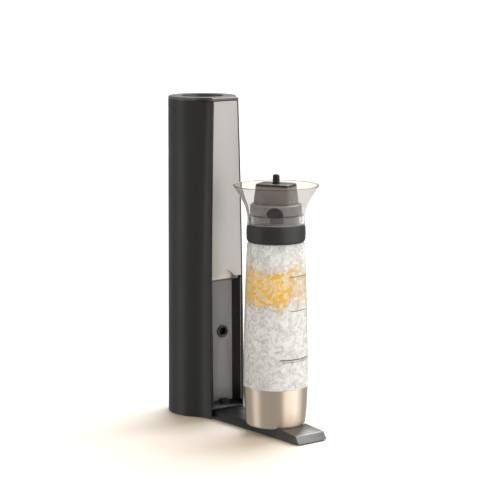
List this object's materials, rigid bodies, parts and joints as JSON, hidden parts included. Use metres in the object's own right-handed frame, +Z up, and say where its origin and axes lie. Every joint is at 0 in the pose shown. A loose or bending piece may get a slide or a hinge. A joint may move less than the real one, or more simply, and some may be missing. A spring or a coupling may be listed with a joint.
{
  "type": "soda carbonator",
  "caption": "Slim tower soda carbonator with a gas cylinder inside, a push button in its top well, and a low arm that fills a clear flared bottle from below.",
  "frame": {"origin": "centre of the footprint's bounding box, at the height of the worktop that the feet stand on", "axes": "+Z up, -Y towards the bottle and the nose of the arm, +X to the right of a person facing the tower's rear"},
  "size_m": [0.1084, 0.274, 0.42],
  "materials": {
    "shell_black": "fine matt texture",
    "bezel_grey": "satin, picks up the room's colour",
    "button_black": "soft satin",
    "inner_plastic": "plain moulded",
    "steel": "plain",
    "brass": "turned",
    "hose_black": "smooth",
    "cylinder_alu": "satin",
    "seal_rubber": "smooth",
    "cover_silver": "satin silver, fine grain",
    "scoop_silver": "satin silver",
    "niche_grey": "dark grey satin",
    "trim_black": "satin",
    "arm_black": "satin",
    "nose_grey": "dark grey satin",
    "rubber_black": "matt",
    "bottle_clear": "clear, polished",
    "spout_clear": "clear, polished",
    "band_black": "matt silicone",
    "base_steel": "satin, brushed round",
    "inlet_white": "plain moulded",
    "cap_smoke": "smooth, dark smoke",
    "seal_silicone": "translucent silicone",
    "tab_black": "satin"
  },
  "bodies": {
    "tower": {"outer_shell": "shell_black", "top_bezel": "bezel_grey", "button_guide": "inner_plastic", "button_spring": "steel", "lever_pin": "steel", "valve_block": "inner_plastic", "relief_valve": "brass", "hose_barbs": "brass", "gas_hose": "hose_black", "vent_hose": "hose_black", "gas_cylinder": "cylinder_alu", "cylinder_valve": "brass", "cylinder_seal": "seal_rubber", "chassis_frame": "inner_plastic", "cover_pin": "steel", "cover_magnets": "steel", "finger_scoop": "scoop_silver", "niche_panel": "niche_grey", "port_ring": "trim_black", "base_plate": "arm_black", "base_sill": "trim_black", "tray_catch": "trim_black", "tray_arm": "arm_black", "arm_bottom": "arm_black", "nose_cap": "nose_grey", "docking_valve": "steel", "docking_seal": "seal_rubber", "rubber_feet": "rubber_black", "block_screws": "steel", "base_screws": "steel"},
    "button": {"push_button": "button_black"},
    "lever": {"rocker_lever": "steel"},
    "pin": {"valve_pin": "steel"},
    "cover": {"front_cover": "cover_silver"},
    "door": {"cylinder_door": "arm_black"},
    "bottle": {"bottle_vessel": "bottle_clear", "flared_spout": "spout_clear", "grip_band": "band_black", "steel_base": "base_steel", "base_seal": "seal_rubber", "inlet_body": "inlet_white", "inlet_nut": "inlet_white", "inlet_flap": "seal_rubber"},
    "cap": {"cap_body": "cap_smoke", "cap_seal": "seal_silicone", "cap_grip": "cap_smoke", "cap_tab": "tab_black", "release_spring": "steel"},
    "release": {"release_button": "tab_black"}
  },
  "joints": [
    {"name": "button_press", "type": "slide", "parent": "tower", "child": "button", "axis": [0, 0, -1], "range_m": [0, 0.004], "stiffness_N_per_m": 400, "springref_m": -0.004, "deforming": ["button_spring"]},
    {"name": "lever_rock", "type": "hinge", "parent": "tower", "child": "lever", "pos_m": [0, 0.107, 0.386], "axis": [1, 0, 0], "range_deg": [0, 7.7]},
    {"name": "pin_push", "type": "slide", "parent": "tower", "child": "pin", "axis": [0, 0, -1], "range_m": [0, 0.0023]},
    {"name": "cover_swing", "type": "hinge", "parent": "tower", "child": "cover", "pos_m": [0, 0.0452, 0.412], "axis": [-1, 0, 0], "range_deg": [0, 12]},
    {"name": "door_turn", "type": "hinge", "parent": "tower", "child": "door", "pos_m": [0, 0.091, 0.004], "axis": [0, 0, 1], "range_deg": [0, 45]},
    {"name": "bottle_lift", "type": "slide", "parent": "tower", "child": "bottle", "axis": [0, 0, 1], "range_m": [0, 0.12]},
    {"name": "cap_lift", "type": "slide", "parent": "bottle", "child": "cap", "axis": [0, 0, 1], "range_m": [0, 0.09]},
    {"name": "release_press", "type": "slide", "parent": "cap", "child": "release", "axis": [0, 0, -1], "range_m": [0, 0.003], "stiffness_N_per_m": 150, "springref_m": -0.004, "deforming": ["release_spring"]}
  ],
  "couplings": [
    {"joint": "lever_rock", "follows": "button_press", "rad_per_m": 33.433},
    {"joint": "pin_push", "follows": "button_press", "ratio": 0.52}
  ]
}
